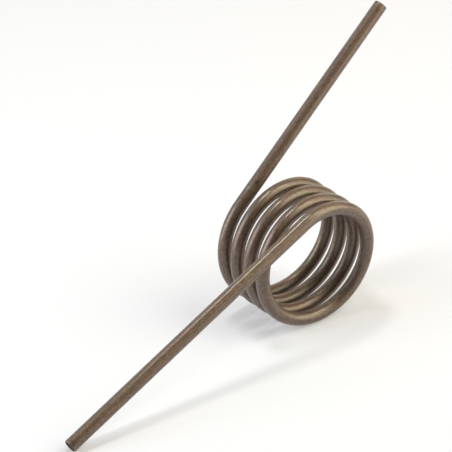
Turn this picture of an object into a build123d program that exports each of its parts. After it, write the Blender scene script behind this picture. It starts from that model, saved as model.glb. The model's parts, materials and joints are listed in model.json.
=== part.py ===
from build123d import *
from math import asin, atan, atan2, cos, degrees, hypot, pi, radians, sin
import os

# Torsion spring: one length of round spring wire, wound right-handed into an open
# coil of four turns, with a straight leg leaving each end of the coil on its tangent.
# Lengths are in millimetres and angles in degrees.
#
# The spring lies as it comes to rest on a table: the axis of the coil is level, the
# turns stand on the table, and the cut end of the long leg touches it too.
# The origin is the middle of the coil, on its axis. Y runs along the axis, with the
# long leg at the -Y end, Z is up, and the short leg leans over to +X.

# What a spring maker is told
wire_diameter = 2.0
inside_diameter = 16.0  # clear bore of the coil, which goes over an arbor
turn_gap = 0.92  # air from one turn to the next, along the axis
full_turns = 4  # turns in the coil if the legs pointed opposite ways
free_angle = 163.1  # angle between the legs with no load on them
short_leg = 35.6  # straight wire, from the coil to the cut end
long_leg = 46.6
cut_edge_radius = 0.15  # the edge that the shears roll over at each cut end

# The coil
wire_radius = wire_diameter / 2
coil_radius = inside_diameter / 2 + wire_radius  # to the centre of the wire
outside_radius = coil_radius + wire_radius
pitch = wire_diameter + turn_gap
turns = full_turns - (180 - free_angle) / 360
coil_length = turns * pitch  # between the wire's centres at the two ends
lead_angle = degrees(atan2(pitch, 2 * pi * coil_radius))

# How the spring lies: seen from the -Y end, the long leg leaves the top of the coil
# and slopes down to -X until its end is as low as the turns are. It touches with its
# rolled edge, an arc about a circle that is cut_edge_radius inside the wire's skin.
edge_reach = (long_leg - cut_edge_radius) * cos(radians(lead_angle))
edge_offset = coil_radius - wire_radius + cut_edge_radius
edge_depth = outside_radius - cut_edge_radius
long_leg_slope = degrees(
    atan(edge_offset / edge_reach) + asin(edge_depth / hypot(edge_reach, edge_offset))
)
# Where each leg leaves the coil, turning from +X towards +Z
long_leg_start = 90 + long_leg_slope
short_leg_start = long_leg_start - 360 * turns

# The wire's centre line winds from the short leg at +Y to the long leg at -Y.
coil_frame = Plane(
    origin=(0, coil_length / 2, 0),
    x_dir=(cos(radians(short_leg_start)), 0, sin(radians(short_leg_start))),
    z_dir=(0, -1, 0),
)
coil_line = coil_frame * Helix(pitch, coil_length, coil_radius)

with BuildPart() as spring_wire:
    with BuildLine() as centre_line:
        add(coil_line)
        short_line = Line(coil_line @ 0, coil_line @ 0 - (coil_line % 0) * short_leg)
        Line(coil_line @ 1, coil_line @ 1 + (coil_line % 1) * long_leg)
    with BuildSketch(Plane(origin=short_line @ 1, z_dir=coil_line % 0)):
        Circle(wire_radius)
    sweep(path=centre_line.wire(), is_frenet=True)
    fillet(faces().filter_by(GeomType.PLANE).edges(), cut_edge_radius)

spring_wire.part.label = "spring_wire"

os.makedirs("parts", exist_ok=True)
export_step(spring_wire.part, "parts/spring_wire.step")

wire_length = short_leg + turns * hypot(pitch, 2 * pi * coil_radius) + long_leg
print("turns", round(turns, 3), "over", round(coil_length + wire_diameter, 2), "mm")
print("long leg slopes down by", round(long_leg_slope, 2), "degrees")
print("wire before winding", round(wire_length, 1), "mm")
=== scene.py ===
# %% [markdown]
# # A torsion spring, wound from one length of spring wire
#
# The spring is a single wire: a straight leg, an open coil of about four turns and
# another straight leg. It works by twisting the legs towards each other over a round
# arbor that fills the coil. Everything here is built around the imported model, which
# already says where the wire runs, so the first cell loads that model and keeps the
# box that it fills.

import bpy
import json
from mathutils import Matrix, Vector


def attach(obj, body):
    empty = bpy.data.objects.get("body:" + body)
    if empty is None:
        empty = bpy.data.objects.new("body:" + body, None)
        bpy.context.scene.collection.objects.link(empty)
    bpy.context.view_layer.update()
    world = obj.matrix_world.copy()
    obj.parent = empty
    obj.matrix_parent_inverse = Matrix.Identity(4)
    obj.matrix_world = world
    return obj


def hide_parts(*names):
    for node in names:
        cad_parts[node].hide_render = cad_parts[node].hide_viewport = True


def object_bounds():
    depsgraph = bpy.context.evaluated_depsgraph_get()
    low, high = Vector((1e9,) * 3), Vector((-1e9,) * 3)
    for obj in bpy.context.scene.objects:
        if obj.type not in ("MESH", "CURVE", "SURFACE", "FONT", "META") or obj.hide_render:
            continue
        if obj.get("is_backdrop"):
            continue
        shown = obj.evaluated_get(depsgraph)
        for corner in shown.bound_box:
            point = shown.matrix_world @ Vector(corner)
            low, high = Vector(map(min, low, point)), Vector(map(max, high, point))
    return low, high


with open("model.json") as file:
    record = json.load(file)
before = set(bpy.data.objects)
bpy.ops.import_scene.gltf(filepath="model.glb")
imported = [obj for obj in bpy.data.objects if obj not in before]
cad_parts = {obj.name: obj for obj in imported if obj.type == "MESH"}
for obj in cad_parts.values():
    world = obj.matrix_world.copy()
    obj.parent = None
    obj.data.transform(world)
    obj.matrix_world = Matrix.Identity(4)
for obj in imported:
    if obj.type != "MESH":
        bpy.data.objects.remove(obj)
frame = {"nodes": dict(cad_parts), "record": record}
cad_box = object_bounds()
print("parts in the model", len(frame["nodes"]))

# %% [markdown]
# ## Units
#
# Blender counts in metres, and a spring maker in millimetres. Multiplying each size by
# one small value lets the sizes be read as on a workshop drawing.

# %% Modules and units
import json
import math

import bmesh
import bpy
from mathutils import Euler, Matrix, Vector, noise

scene = bpy.context.scene
mm = 0.001
print("model box in mm", [[round(c / mm, 2) for c in corner] for corner in cad_box])

# %% [markdown]
# ## The camera
#
# A small part is best seen from well back, through a long lens, so that both legs keep
# their true proportions. The camera could be placed by its own coordinates, but in a
# studio one thinks of the point in the middle of the frame, the distance to it, and how
# far round and above it the camera stands. Those are the values here, and the camera's
# place follows from them.

# %% Place the camera
view_middle = Vector((-6.87, 7.68, 3.15)) * mm
view_distance = 481.35 * mm
view_azimuth = math.radians(-37.41)  # 0 looks along +Y and 90 along -X
view_elevation = math.radians(31.45)
view_roll = math.radians(-1.16)
lens = 267.0  # millimetres, a long lens for the sensor below
sensor_width = 36.0
nearest_seen = 10 * mm
farthest_seen = 10000 * mm

camera_data = bpy.data.cameras.new("camera")
camera_data.sensor_width = sensor_width
camera_data.lens = lens
camera_data.clip_start = nearest_seen
camera_data.clip_end = farthest_seen
camera = bpy.data.objects.new("camera", camera_data)
scene.collection.objects.link(camera)
scene.camera = camera

level_turn = Euler((math.pi / 2 - view_elevation, 0, view_azimuth)).to_matrix()
camera_turn = level_turn @ Matrix.Rotation(view_roll, 3, "Z")
camera.location = view_middle + camera_turn @ Vector((0, 0, view_distance))
camera.rotation_euler = camera_turn.to_euler()
print("camera at", [round(c / mm, 1) for c in camera.location], "mm")

# %% [markdown]
# ## The wire's route
#
# The model's record gives each straight leg as a round pin: its radius, its middle, its
# direction away from the coil and its length. Where a leg starts is where the coil ends,
# so the two pins settle the whole route. The distance of that point from the Y axis is
# the coil's radius, and the small slope of the leg along the axis is the lead angle,
# which gives the pitch.

# %% Read the route from the two legs
mounts = {mount["name"]: mount for mount in frame["record"]["mounts"]}


def read_leg(name):
    """Where a leg leaves the coil and its direction away from it."""
    mount = mounts[name]
    outward = Vector(mount["axis"]).normalized()
    length = mount["dims"]["length_mm"] * mm
    return Vector(mount["pos_m"]) - outward * length / 2, outward, length


short_start, short_outward, short_straight = read_leg("short_leg")
long_start, long_outward, long_straight = read_leg("long_leg")
wire_radius = mounts["short_leg"]["dims"]["r_mm"] * mm
cut_edge_radius = 0.15 * mm  # rolled over by the shears, past the straight cylinder
short_leg = short_straight + cut_edge_radius
long_leg = long_straight + cut_edge_radius

coil_radius = math.hypot(short_start.x, short_start.z)
coil_length = short_start.y - long_start.y
lead_angle = math.asin(short_outward.y)
pitch = math.tan(lead_angle) * 2 * math.pi * coil_radius
turns = coil_length / pitch
turn_length = math.hypot(pitch, 2 * math.pi * coil_radius)
wire_length = short_leg + turns * turn_length + long_leg
print("turns", round(turns, 3), "pitch", round(pitch / mm, 3), "mm")
print("wire length", round(wire_length / mm, 1), "mm")

# %% [markdown]
# ## The wire
#
# A coiling machine pushes straight wire past a forming point. A curve with a round bevel
# would look the same, but its mesh would have no memory of the straight wire. Here the
# wire is grown as the machine feeds it: a ring is pulled along the short leg, spun with
# a little drift at each step to make the coil, and pulled along the long leg. Each ring
# writes down where it was on the straight wire, across and along, in millimetres. The
# finish reads those numbers, so die lines and stains follow the wire round the coil.

# %% Grow the wire ring by ring
ring_sides = 64
leg_ring_spacing = 1.0 * mm
steps_per_turn = 120

wire = bmesh.new()
straight_place = wire.verts.layers.float_vector.new("straight_wire")


def leg_frame(start, outward, radial):
    """Places the wire's section: x away from the coil's axis, z along the wire."""
    across = outward.cross(radial).normalized()
    turned = Matrix((radial, across, outward)).transposed().to_4x4()
    return Matrix.Translation(start) @ turned


feed = -short_outward  # the wire is fed from the tip of the short leg to the coil
short_radial = Vector((short_start.x, 0, short_start.z)).normalized()
short_tip = short_start - feed * short_leg
short_frame = leg_frame(short_tip, feed, short_radial)
long_radial = Vector((long_start.x, 0, long_start.z)).normalized()
long_frame = leg_frame(long_start, long_outward, long_radial)


def grow_leg(rim, direction, length):
    """Pulls the open rim of the wire straight on, in even steps, and returns the new rim."""
    rings = math.ceil(length / leg_ring_spacing)
    for _ in range(rings):
        grown = bmesh.ops.extrude_edge_only(wire, edges=rim)["geom"]
        verts = [part for part in grown if isinstance(part, bmesh.types.BMVert)]
        rim = [part for part in grown if isinstance(part, bmesh.types.BMEdge)]
        bmesh.ops.translate(wire, verts=verts, vec=direction * length / rings)
    return rim


def grow_coil(rim):
    """Spins the open rim round the Y axis with a drift along it, and returns the new rim."""
    steps = round(turns * steps_per_turn)
    for step in range(1, steps + 1):
        spun = bmesh.ops.spin(
            wire,
            geom=rim,
            cent=(0, 0, 0),
            axis=(0, -1, 0),
            angle=turns * 2 * math.pi / steps,
            dvec=(0, -coil_length / steps, 0),
            steps=1,
            use_merge=False,
        )["geom_last"]
        rim = [part for part in spun if isinstance(part, bmesh.types.BMEdge)]
        along = (short_leg + turns * turn_length * step / steps) / mm
        for vert in spun:
            if isinstance(vert, bmesh.types.BMVert):
                vert[straight_place].z = along
    return rim


def write_leg_places(verts, placed, along):
    """Writes where vertices of a straight leg lie on the straight wire, in millimetres."""
    unplace = placed.inverted()
    for vert in verts:
        local = unplace @ vert.co
        vert[straight_place] = Vector((local.x, local.y, local.z + along)) / mm


bmesh.ops.create_circle(
    wire, cap_ends=False, radius=wire_radius, segments=ring_sides, matrix=short_frame
)
first_rim = list(wire.edges)
coil_rim = grow_leg(first_rim, feed, short_leg)
write_leg_places(wire.verts, short_frame, 0)
leg_rim = grow_coil(coil_rim)
coil_end = len(wire.verts)
last_rim = grow_leg(leg_rim, long_outward, long_leg)
wire.verts.ensure_lookup_table()
write_leg_places(wire.verts[coil_end:], long_frame, short_leg + turns * turn_length)
print("rings", len(wire.verts) // ring_sides, "with", ring_sides, "sides")

# %% [markdown]
# ## The sheared ends
#
# Shears cut the wire off. They roll its edge over, slide a little way through the steel
# and then break it, so a cut end has a smooth land near the blade and a slightly lower,
# hackly break on the rest. A plain flat disc would look like a picture of an end. Here
# the end is closed, its edge is rolled with a bevel, and the disc is inset into a few
# rings that can be pressed in where the steel broke.

# %% Close the ends and roll their edges over
bevel_steps = 4
weld_distance = 0.0001 * mm

for rim in (first_rim, last_rim):
    bmesh.ops.holes_fill(wire, edges=rim, sides=ring_sides)
    bmesh.ops.bevel(
        wire,
        geom=rim,
        offset=cut_edge_radius,
        offset_type="OFFSET",
        affect="EDGES",
        segments=bevel_steps,
        profile=0.5,
        material=-1,
    )
bmesh.ops.remove_doubles(wire, verts=wire.verts, dist=weld_distance)
bmesh.ops.recalc_face_normals(wire, faces=wire.faces)
discs = [face for face in wire.faces if len(face.verts) == ring_sides]
print("cut ends", len(discs))

# %% Press the break into each end
cut_rings = 8
break_depth = 0.06 * mm
hackle_depth = 0.03 * mm
hackle_size = 0.25  # millimetres from one ridge of the break to the next
land_from, break_from = 0.4, 0.15  # millimetres off the middle, from land down to break
rim_from, rim_to = 0.7, 0.84  # millimetres from the middle, where the break runs out
coil_end_along = short_leg + turns * turn_length


def smooth_step(low, high, value):
    """Rises smoothly from 0 at low to 1 at high, or falls where low is the larger."""
    share = min(max((value - low) / (high - low), 0), 1)
    return share * share * (3 - 2 * share)


def press_break(disc, placed, along):
    """Insets a disc into rings and presses in the half that broke off."""
    inward = -disc.normal
    cut = [disc]
    for _ in range(cut_rings):
        step = (wire_radius - cut_edge_radius) / (cut_rings + 1)
        cut += bmesh.ops.inset_individual(wire, faces=[disc], thickness=step)["faces"]
    verts = {vert for face in cut for vert in face.verts}
    write_leg_places(verts, placed, along)
    for vert in verts:
        place = vert[straight_place]
        broken = smooth_step(land_from, break_from, place.x)
        broken *= smooth_step(rim_to, rim_from, place.xy.length)
        hackle = (1 + noise.noise(place / hackle_size)) / 2
        vert.co += inward * broken * (break_depth + hackle * hackle_depth)
    for face in cut:
        face.material_index = 1
    return len(cut)


discs.sort(key=lambda face: face.calc_center_median().z)
long_disc, short_disc = discs
print("faces on a cut end", press_break(short_disc, short_frame, 0))
press_break(long_disc, long_frame, coil_end_along)

# %% [markdown]
# ## One piece of wire
#
# The legs and the coil could be objects of their own, but real wire has no joint there,
# and a seam in the finish would show one. So the whole wire becomes one object, with
# smooth faces, in place of the plain model's wire. It rides with the model's only body.

# %% The finished piece
for face in wire.faces:
    face.smooth = True

wire_mesh = bpy.data.meshes.new("wound_spring_wire")
wire.to_mesh(wire_mesh)
wire.free()
spring = bpy.data.objects.new("wound_spring_wire", wire_mesh)
scene.collection.objects.link(spring)
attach(spring, "root")
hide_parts("spring_wire")
print("faces", len(wire_mesh.polygons))

# %% [markdown]
# ## Helpers for colours and nodes
#
# Colours are written as the hex values of a paint or screen chart, which are sRGB.
# Shaders work in linear light, so one function turns them. Materials are built from
# nodes, and typing four lines for each node would hide what it is for, so another
# small function adds a node with its settings and its links in one call.

# %% Colours and nodes
def colour(code):
    """An sRGB hex colour as linear red, green, blue and alpha."""
    channels = [int(code[start : start + 2], 16) / 255 for start in (1, 3, 5)]
    linear = [c / 12.92 if c <= 0.04045 else ((c + 0.055) / 1.055) ** 2.4 for c in channels]
    return (*linear, 1.0)


def add_node(tree, kind, inputs=None, **settings):
    """Adds a node. Settings are its properties; an input is a value or another's output."""
    made = tree.nodes.new(kind)
    for name, value in settings.items():
        setattr(made, name, value)
    for socket, value in (inputs or {}).items():
        if isinstance(value, bpy.types.NodeSocket):
            tree.links.new(value, made.inputs[socket])
        else:
            made.inputs[socket].default_value = value
    return made


def new_material(name):
    """An empty node material, its Principled shader and its node tree."""
    made = bpy.data.materials.new(name)
    made.use_nodes = True
    tree = made.node_tree
    shader = tree.nodes["Principled BSDF"]
    return made, shader, tree


print("half-bright grey in linear light", round(colour("#808080")[0], 3))

# %% [markdown]
# ## The finish of the wire
#
# This is drawn spring steel, baked after winding to take the stress out of it. The dies
# leave fine lines along the wire. The bake leaves a brown oxide film, thicker where
# drawing soap had stayed on the steel, so the brown drifts between olive, red and grey.
# A picture of scratched metal would show all this at once, but it couldn't follow the
# turns. Here each trace is a noise pattern stretched along the straight wire, as wide
# and as long in millimetres as the real trace.

# %% Patterns along the straight wire
bronzed_steel, steel_shader, steel = new_material("bronzed_spring_steel")
on_wire = add_node(steel, "ShaderNodeAttribute", attribute_name="straight_wire").outputs["Vector"]


def wire_pattern(tree, place, across, along, detail=2.0, shift=0.0):
    """Noise from 0 to 1 with patches of a width and a length in millimetres."""
    scaled = add_node(
        tree,
        "ShaderNodeMapping",
        {
            "Vector": place,
            "Location": (shift, shift, shift),
            "Scale": (1 / across, 1 / across, 1 / along),
        },
    )
    pattern = add_node(
        tree,
        "ShaderNodeTexNoise",
        {"Vector": scaled.outputs["Vector"], "Scale": 1.0, "Detail": detail},
    )
    return pattern.outputs["Fac"]


# The width and the length of each trace are in millimetres. A single die line is only
# about 0.03 mm wide, too fine to show, so bundles of lines are drawn in its place.
die_lines = wire_pattern(steel, on_wire, 0.16, 6.0)
film_drift = wire_pattern(steel, on_wire, 0.6, 3.5, detail=3.0, shift=3.0)
soap_patches = wire_pattern(steel, on_wire, 0.45, 3.2, detail=3.0, shift=7.0)
grain = wire_pattern(steel, on_wire, 0.3, 0.5, detail=3.0, shift=11.0)
scale_specks = wire_pattern(steel, on_wire, 0.3, 0.7, shift=17.0)
print("nodes for the patterns", len(steel.nodes))

# %% [markdown]
# ## The coiling tool's marks, with painted shade and a painted highlight
#
# Where the short leg runs into the coil, the coiling finger pressed on the wire. It left a short
# bruise of dark pits, and the dark pits are also painted shade: they darken the leg where it
# reflects the dark coil beside it. Beside them a lighter spot stands for film rubbed thin, where
# the steel shows lighter, and is also a painted highlight, the glint of the spot the finger
# pressed flat. A drift over the whole wire couldn't show where the tool stood, so each mark has
# its own place on the straight wire.

# %% Marks of the coiling finger, with painted shade and a painted highlight
# the dark pits, which also paint the shade of the coil reflected in the leg
pits_and_painted_shade_place = Vector((0.62, -0.78, 31.7))  # millimetres on the straight wire
# a lighter spot: film rubbed thin, and a painted highlight of the pressed flat spot
rub_and_highlight_place = Vector((0.98, -0.19, 33.0))
pits_and_painted_shade_reach = 0.5
rub_and_highlight_reach = 0.3
along_stretch = 2.5  # a mark is this much longer along the wire than across it
full_share = 1 / 3  # the part of a mark's reach where it shows in full


def spread(tree, value, low, high, to_low=0.0, to_high=1.0):
    """Stretches a value from one range to another and keeps it inside."""
    ranged = add_node(
        tree,
        "ShaderNodeMapRange",
        {"Value": value, "From Min": low, "From Max": high, "To Min": to_low, "To Max": to_high},
        interpolation_type="SMOOTHSTEP",
    )
    return ranged.outputs["Result"]


def mark(tree, place, centre, reach):
    """1 in the middle of a mark on the wire, falling to 0 at its edge."""
    squeeze = Vector((1, 1, 1 / along_stretch))
    squeezed = add_node(tree, "ShaderNodeVectorMath", {0: place, 1: squeeze}, operation="MULTIPLY")
    gap = add_node(
        tree,
        "ShaderNodeVectorMath",
        {0: squeezed.outputs[0], 1: (centre.x, centre.y, centre.z / along_stretch)},
        operation="DISTANCE",
    )
    return spread(tree, gap.outputs["Value"], reach, reach * full_share)


# dark pits inside the patch; their darkness is partly real pits and partly painted shade
pits = spread(steel, wire_pattern(steel, on_wire, 0.11, 0.7, shift=23.0), 0.45, 0.55)
pits_and_painted_shade_mask = mark(steel, on_wire, pits_and_painted_shade_place, pits_and_painted_shade_reach)
pits_in_painted_shade = add_node(steel, "ShaderNodeMath", {0: pits_and_painted_shade_mask, 1: pits}, operation="MULTIPLY")
# the lighter spot is partly thin film and partly a painted highlight
rub_and_highlight_mask = mark(steel, on_wire, rub_and_highlight_place, rub_and_highlight_reach)
print("marks", round(short_leg / mm - rub_and_highlight_place.z, 1), "mm before the coil starts")

# %% [markdown]
# ## The colours of the oxide film
#
# The film is about as thick as a wave of light, so small changes in its thickness turn
# it from olive to reddish brown. Loose scale leaves near-black specks. Each colour could
# be a material of its own, but the patches have no edges, so they are blended in turn,
# one over the other. Lines and grain then make the result a little lighter or darker.

# %% Colour of the oxide film
olive_film = "#675948"
reddish_film = "#6B5449"
greyish_film = "#6B584E"
black_scale = "#3A302A"
# darkens the pits and paints the shade of the dark coil reflected in the leg
pit_and_painted_shade_brown = "#3F2E26"
# thin film over bare steel, lightened further as a painted highlight
rubbed_steel_and_highlight = "#7C7064"
speck_strength = 0.6
line_dark, line_light = 0.84, 1.16
grain_dark, grain_light = 0.77, 1.23


def blend(tree, factor, first, second):
    """Mixes two colours. Each is a hex code or the output of a node."""
    mixed = add_node(tree, "ShaderNodeMix", {0: factor}, data_type="RGBA")
    for socket, value in ((6, first), (7, second)):
        if isinstance(value, str):
            mixed.inputs[socket].default_value = colour(value)
        else:
            tree.links.new(value, mixed.inputs[socket])
    return mixed.outputs[2]


# Noise mostly lies between 0.3 and 0.7. A step over most of that range leaves patches
# with soft edges, and a step near its top leaves only a few specks.
olive_or_red = blend(steel, spread(steel, film_drift, 0.35, 0.65), olive_film, reddish_film)
with_grey = blend(steel, spread(steel, soap_patches, 0.35, 0.75), olive_or_red, greyish_film)
speck_cover = spread(steel, scale_specks, 0.68, 0.76, 0.0, speck_strength)
with_specks = blend(steel, speck_cover, with_grey, black_scale)
# painted shade: the pits darken where the leg reflects the dark coil beside it
with_pits_and_painted_shade = blend(steel, pits_in_painted_shade.outputs[0], with_specks, pit_and_painted_shade_brown)
# painted highlight: the rubbed spot is made lighter as if it caught a glint
with_rub_and_highlight = blend(steel, rub_and_highlight_mask, with_pits_and_painted_shade, rubbed_steel_and_highlight)
line_shade = spread(steel, die_lines, 0.3, 0.7, line_dark, line_light)
grain_shade = spread(steel, grain, 0.25, 0.75, grain_dark, grain_light)
shade = add_node(steel, "ShaderNodeMath", {0: line_shade, 1: grain_shade}, operation="MULTIPLY")
film_colour = add_node(
    steel, "ShaderNodeVectorMath", {0: with_rub_and_highlight, 1: shade.outputs[0]}, operation="MULTIPLY"
)
steel.links.new(film_colour.outputs[0], steel_shader.inputs["Base Color"])
print("nodes with the colours", len(steel.nodes))

# %% [markdown]
# ## The gloss of the wire
#
# Baked oxide is dull, and dullest where the soap was. Over it lies a thin film of oil
# that keeps the wire from rusting, and the oil gives the soft line of light on each turn.
# One roughness between the two would make the wire look either chalky or polished, so
# the oxide is the metal below and the oil is the shader's coat. The die lines and the
# grain are also raised by a few thousandths of a millimetre.

# %% Gloss and relief of the oxide film
oil_roughness = 0.27
relief_height = 0.004 * mm
clean_roughness, soapy_roughness = 0.57, 0.67

matt = spread(steel, soap_patches, 0.3, 0.7, clean_roughness, soapy_roughness)
steel.links.new(matt, steel_shader.inputs["Roughness"])
relief = add_node(steel, "ShaderNodeMath", {0: die_lines, 1: grain}, operation="ADD")
bump = add_node(
    steel,
    "ShaderNodeBump",
    {"Height": relief.outputs[0], "Strength": 1.0, "Distance": relief_height},
)
steel.links.new(bump.outputs["Normal"], steel_shader.inputs["Normal"])
steel_shader.inputs["Metallic"].default_value = 1.0
steel_shader.inputs["Coat Weight"].default_value = 1.0
steel_shader.inputs["Coat Roughness"].default_value = oil_roughness
wire_mesh.materials.append(bronzed_steel)
print("nodes in", bronzed_steel.name, len(steel.nodes))

# %% [markdown]
# ## The finish of the cut ends
#
# The wire is baked after it is cut, so the ends are brown too. The break is rough steel
# that scatters the light, so it is dull and mottled, while the land that the blade slid
# over is smoother and still shines a little. A flat brown would look like paint. The two
# finishes are mixed across the wire, over the same line where the break was pressed in.
# The break soaks the oil up, so the ends have no coat, and a brown tint keeps them from
# turning white where they are seen from the side.

# %% Baked cut steel
cut_steel, cut_shader, cut = new_material("baked_sheared_steel")
on_cut = add_node(cut, "ShaderNodeAttribute", attribute_name="straight_wire").outputs["Vector"]
hackles = wire_pattern(cut, on_cut, 0.12, 0.12, detail=3.0)
across = add_node(cut, "ShaderNodeSeparateXYZ", {"Vector": on_cut}).outputs["X"]
land_brown = "#6F6155"
hackle_brown = "#5A4D44"
edge_on_brown = "#A08F82"
hackle_relief = 0.01 * mm
land_edge, break_edge = 0.35, 0.2  # millimetres off the middle, in from the pressed line
land_roughness, break_roughness = 0.38, 0.62

break_colour = blend(cut, spread(cut, hackles, 0.35, 0.65), hackle_brown, land_brown)
cut_colour = blend(cut, spread(cut, across, land_edge, break_edge), land_brown, break_colour)
cut.links.new(cut_colour, cut_shader.inputs["Base Color"])
cut_matt = spread(cut, across, land_edge, break_edge, land_roughness, break_roughness)
cut.links.new(cut_matt, cut_shader.inputs["Roughness"])
cut_bump = add_node(
    cut, "ShaderNodeBump", {"Height": hackles, "Strength": 1.0, "Distance": hackle_relief}
)
cut.links.new(cut_bump.outputs["Normal"], cut_shader.inputs["Normal"])
cut_shader.inputs["Metallic"].default_value = 1.0
cut_shader.inputs["Specular Tint"].default_value = colour(edge_on_brown)
wire_mesh.materials.append(cut_steel)
print("nodes in", cut_steel.name, len(cut.nodes))

# %% [markdown]
# ## The table
#
# The spring lies on a white card on a sheet of opal acrylic that is lit from below, as
# small parts are shown in a studio. The lamps alone could make a card this white only
# by flooding the steel as well. With the glow from below, the card burns out
# to plain white and the shadows stay faint. The card is a cool grey and its glow a little
# warm, so that together with the lamps they make a white with no tint. Past the lamps
# the glow alone makes the white, so it is stronger there.

# %% Floor
floor_height = cad_box[0].z
floor_size = 12000 * mm
floor_mesh = bpy.data.meshes.new("floor")
floor_grid = bmesh.new()
bmesh.ops.create_grid(floor_grid, x_segments=1, y_segments=1, size=floor_size / 2)
bmesh.ops.translate(floor_grid, verts=floor_grid.verts, vec=(0, 0, floor_height))
floor_grid.to_mesh(floor_mesh)
floor_grid.free()
floor = bpy.data.objects.new("floor", floor_mesh)
scene.collection.objects.link(floor)
floor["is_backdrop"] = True
print("floor at", round(floor_height / mm, 2), "mm")

# %% White card, lit from below
lit_card, bare_sheet = 200 * mm, 320 * mm  # from the middle, where the lamps' light ends
lit_glow, bare_glow = 0.3, 1.1

white_card, floor_shader, card = new_material("matt_white_card")
floor_shader.inputs["Base Color"].default_value = colour("#B9BCC7")
floor_shader.inputs["Roughness"].default_value = 0.9
floor_shader.inputs["Specular IOR Level"].default_value = 0.0
floor_shader.inputs["Emission Color"].default_value = colour("#FFF9F3")
on_card = add_node(card, "ShaderNodeTexCoord").outputs["Object"]
card_radius = add_node(card, "ShaderNodeVectorMath", {0: on_card}, operation="LENGTH")
glow = spread(card, card_radius.outputs["Value"], lit_card, bare_sheet, lit_glow, bare_glow)
card.links.new(glow, floor_shader.inputs["Emission Strength"])
floor_mesh.materials.append(white_card)
print("nodes in", white_card.name, len(card.nodes))

# %% [markdown]
# ## The room
#
# Steel shows whatever is round it. A bright even sky would fill every reflection with
# the same grey. So the room is nearly dark, with the blue of daylight far behind, and
# the lamps alone draw the bright and dark bands along the wire.

# %% Sky
world = bpy.data.worlds.new("studio_air")
scene.world = world
world.use_nodes = True
daylight = colour("#DDEBFF")
daylight_strength = 0.06
sky = world.node_tree.nodes["Background"]
sky.inputs["Color"].default_value = daylight
sky.inputs["Strength"].default_value = daylight_strength
print("sky", [round(c * daylight_strength, 3) for c in daylight[:3]])

# %% [markdown]
# ## The lamps
#
# Each lamp is a softbox or a bright surface that faces the coil. It is placed as it
# would be noted on a studio plan, by compass direction, height and distance. The
# small one overhead stands close and draws the thin line along the long leg. Two on the
# left light the coil's outer side, and three strips side by side at the front right make
# one tall window with its brightest part in the middle. The far panel and the warm wall
# give the wire its pale rim. The window cools the short leg's left side. One large dome
# would be simpler, but it draws no lines, and a satin wire is told by its lines.

# %% Softboxes
def softbox(name, middle, width, tall, radiance, tint):
    """An area light that faces the coil. Places and sizes are in millimetres."""
    data = bpy.data.lights.new(name, "AREA")
    data.shape = "RECTANGLE"
    data.size = width * mm
    data.size_y = tall * mm
    data.color = colour(tint)[:3]
    data.energy = radiance * math.pi * data.size * data.size_y  # watts
    lamp = bpy.data.objects.new(name, data)
    lamp.location = Vector(middle) * mm
    facing = Vector(middle).to_track_quat("Z", "Y")
    lamp.rotation_euler = facing.to_euler()
    lamp.visible_camera = False
    scene.collection.objects.link(lamp)


def from_coil(compass, height, distance):
    """A place seen from the coil: compass turns from +X to +Y, both in degrees."""
    turn, lift = math.radians(compass), math.radians(height)
    level = distance * math.cos(lift)
    return level * math.cos(turn), level * math.sin(turn), distance * math.sin(lift)


# name, (compass, height, distance), width, tall, radiance, tint
softbox("overhead", from_coil(102, 76, 250), 70, 40, 27.3, "#FFFEEF")
softbox("left_softbox", from_coil(152, 22, 300), 170, 280, 4.12, "#FAFFFD")
softbox("left_wash", from_coil(165, 30, 300), 230, 180, 1.39, "#FFFBF9")
softbox("front_strip", from_coil(297, 33, 300), 150, 480, 2.04, "#FEFFE8")
softbox("right_strip", from_coil(316, 33, 300), 120, 480, 3.70, "#FFF5D6")
softbox("far_right_strip", from_coil(335, 33, 300), 130, 480, 2.02, "#FFFBE5")
softbox("far_panel", from_coil(60, 28, 500), 900, 500, 0.76, "#FFFBEE")
softbox("warm_wall", from_coil(45, 28, 500), 700, 500, 0.34, "#FFC575")
softbox("window", from_coil(118, 38, 350), 130, 200, 0.86, "#70C9FF")

scene.view_settings.view_transform = "Standard"
print("lamps", len(bpy.data.lights))

# %% [markdown]
# ## Sizes
#
# The finished wire has to fill the same box as the plain model, or a part designed around the
# model wouldn't fit the real spring. Both boxes are measured in metres, and their greatest
# difference is printed in millimetres.

# %% Sizes
visual_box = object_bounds()
differences = [abs(a - b) for cad, seen in zip(cad_box, visual_box) for a, b in zip(cad, seen)]
print("boxes differ by", round(max(differences) / mm, 4), "mm at most")
